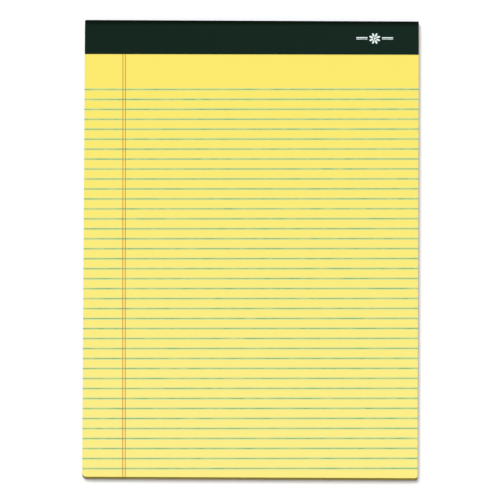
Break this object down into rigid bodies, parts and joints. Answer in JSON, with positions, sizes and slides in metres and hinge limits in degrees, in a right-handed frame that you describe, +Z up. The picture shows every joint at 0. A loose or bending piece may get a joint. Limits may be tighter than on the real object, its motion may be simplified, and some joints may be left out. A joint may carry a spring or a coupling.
{
  "type": "legal pad",
  "caption": "Ruled yellow writing pad of letter size, stapled at the head under a dark green tape, on a stiff board.",
  "frame": {"origin": "middle of the back, on the surface that the pad lies on", "axes": "+Z up out of the ruled face, +Y up the page towards the taped head, +X to the right across the page"},
  "size_m": [0.216, 0.2984, 0.0105],
  "materials": {
    "chipboard": "rough grey-brown chipboard",
    "canary_paper": "matt canary yellow writing paper",
    "staple_wire": "galvanised flat wire",
    "green_tape": "dark green leather-grain binding paper, half matt",
    "rule_ink": "matt green ruling ink",
    "margin_ink": "matt orange-red ruling ink",
    "silver_foil": "silver stamping foil"
  },
  "bodies": {
    "root": {"backing_board": "chipboard", "page_block": "canary_paper", "staples": "staple_wire", "binding_tape": "green_tape", "rule_lines": "rule_ink", "margin_lines": "margin_ink", "foil_ornament": "silver_foil"}
  },
  "joints": []
}
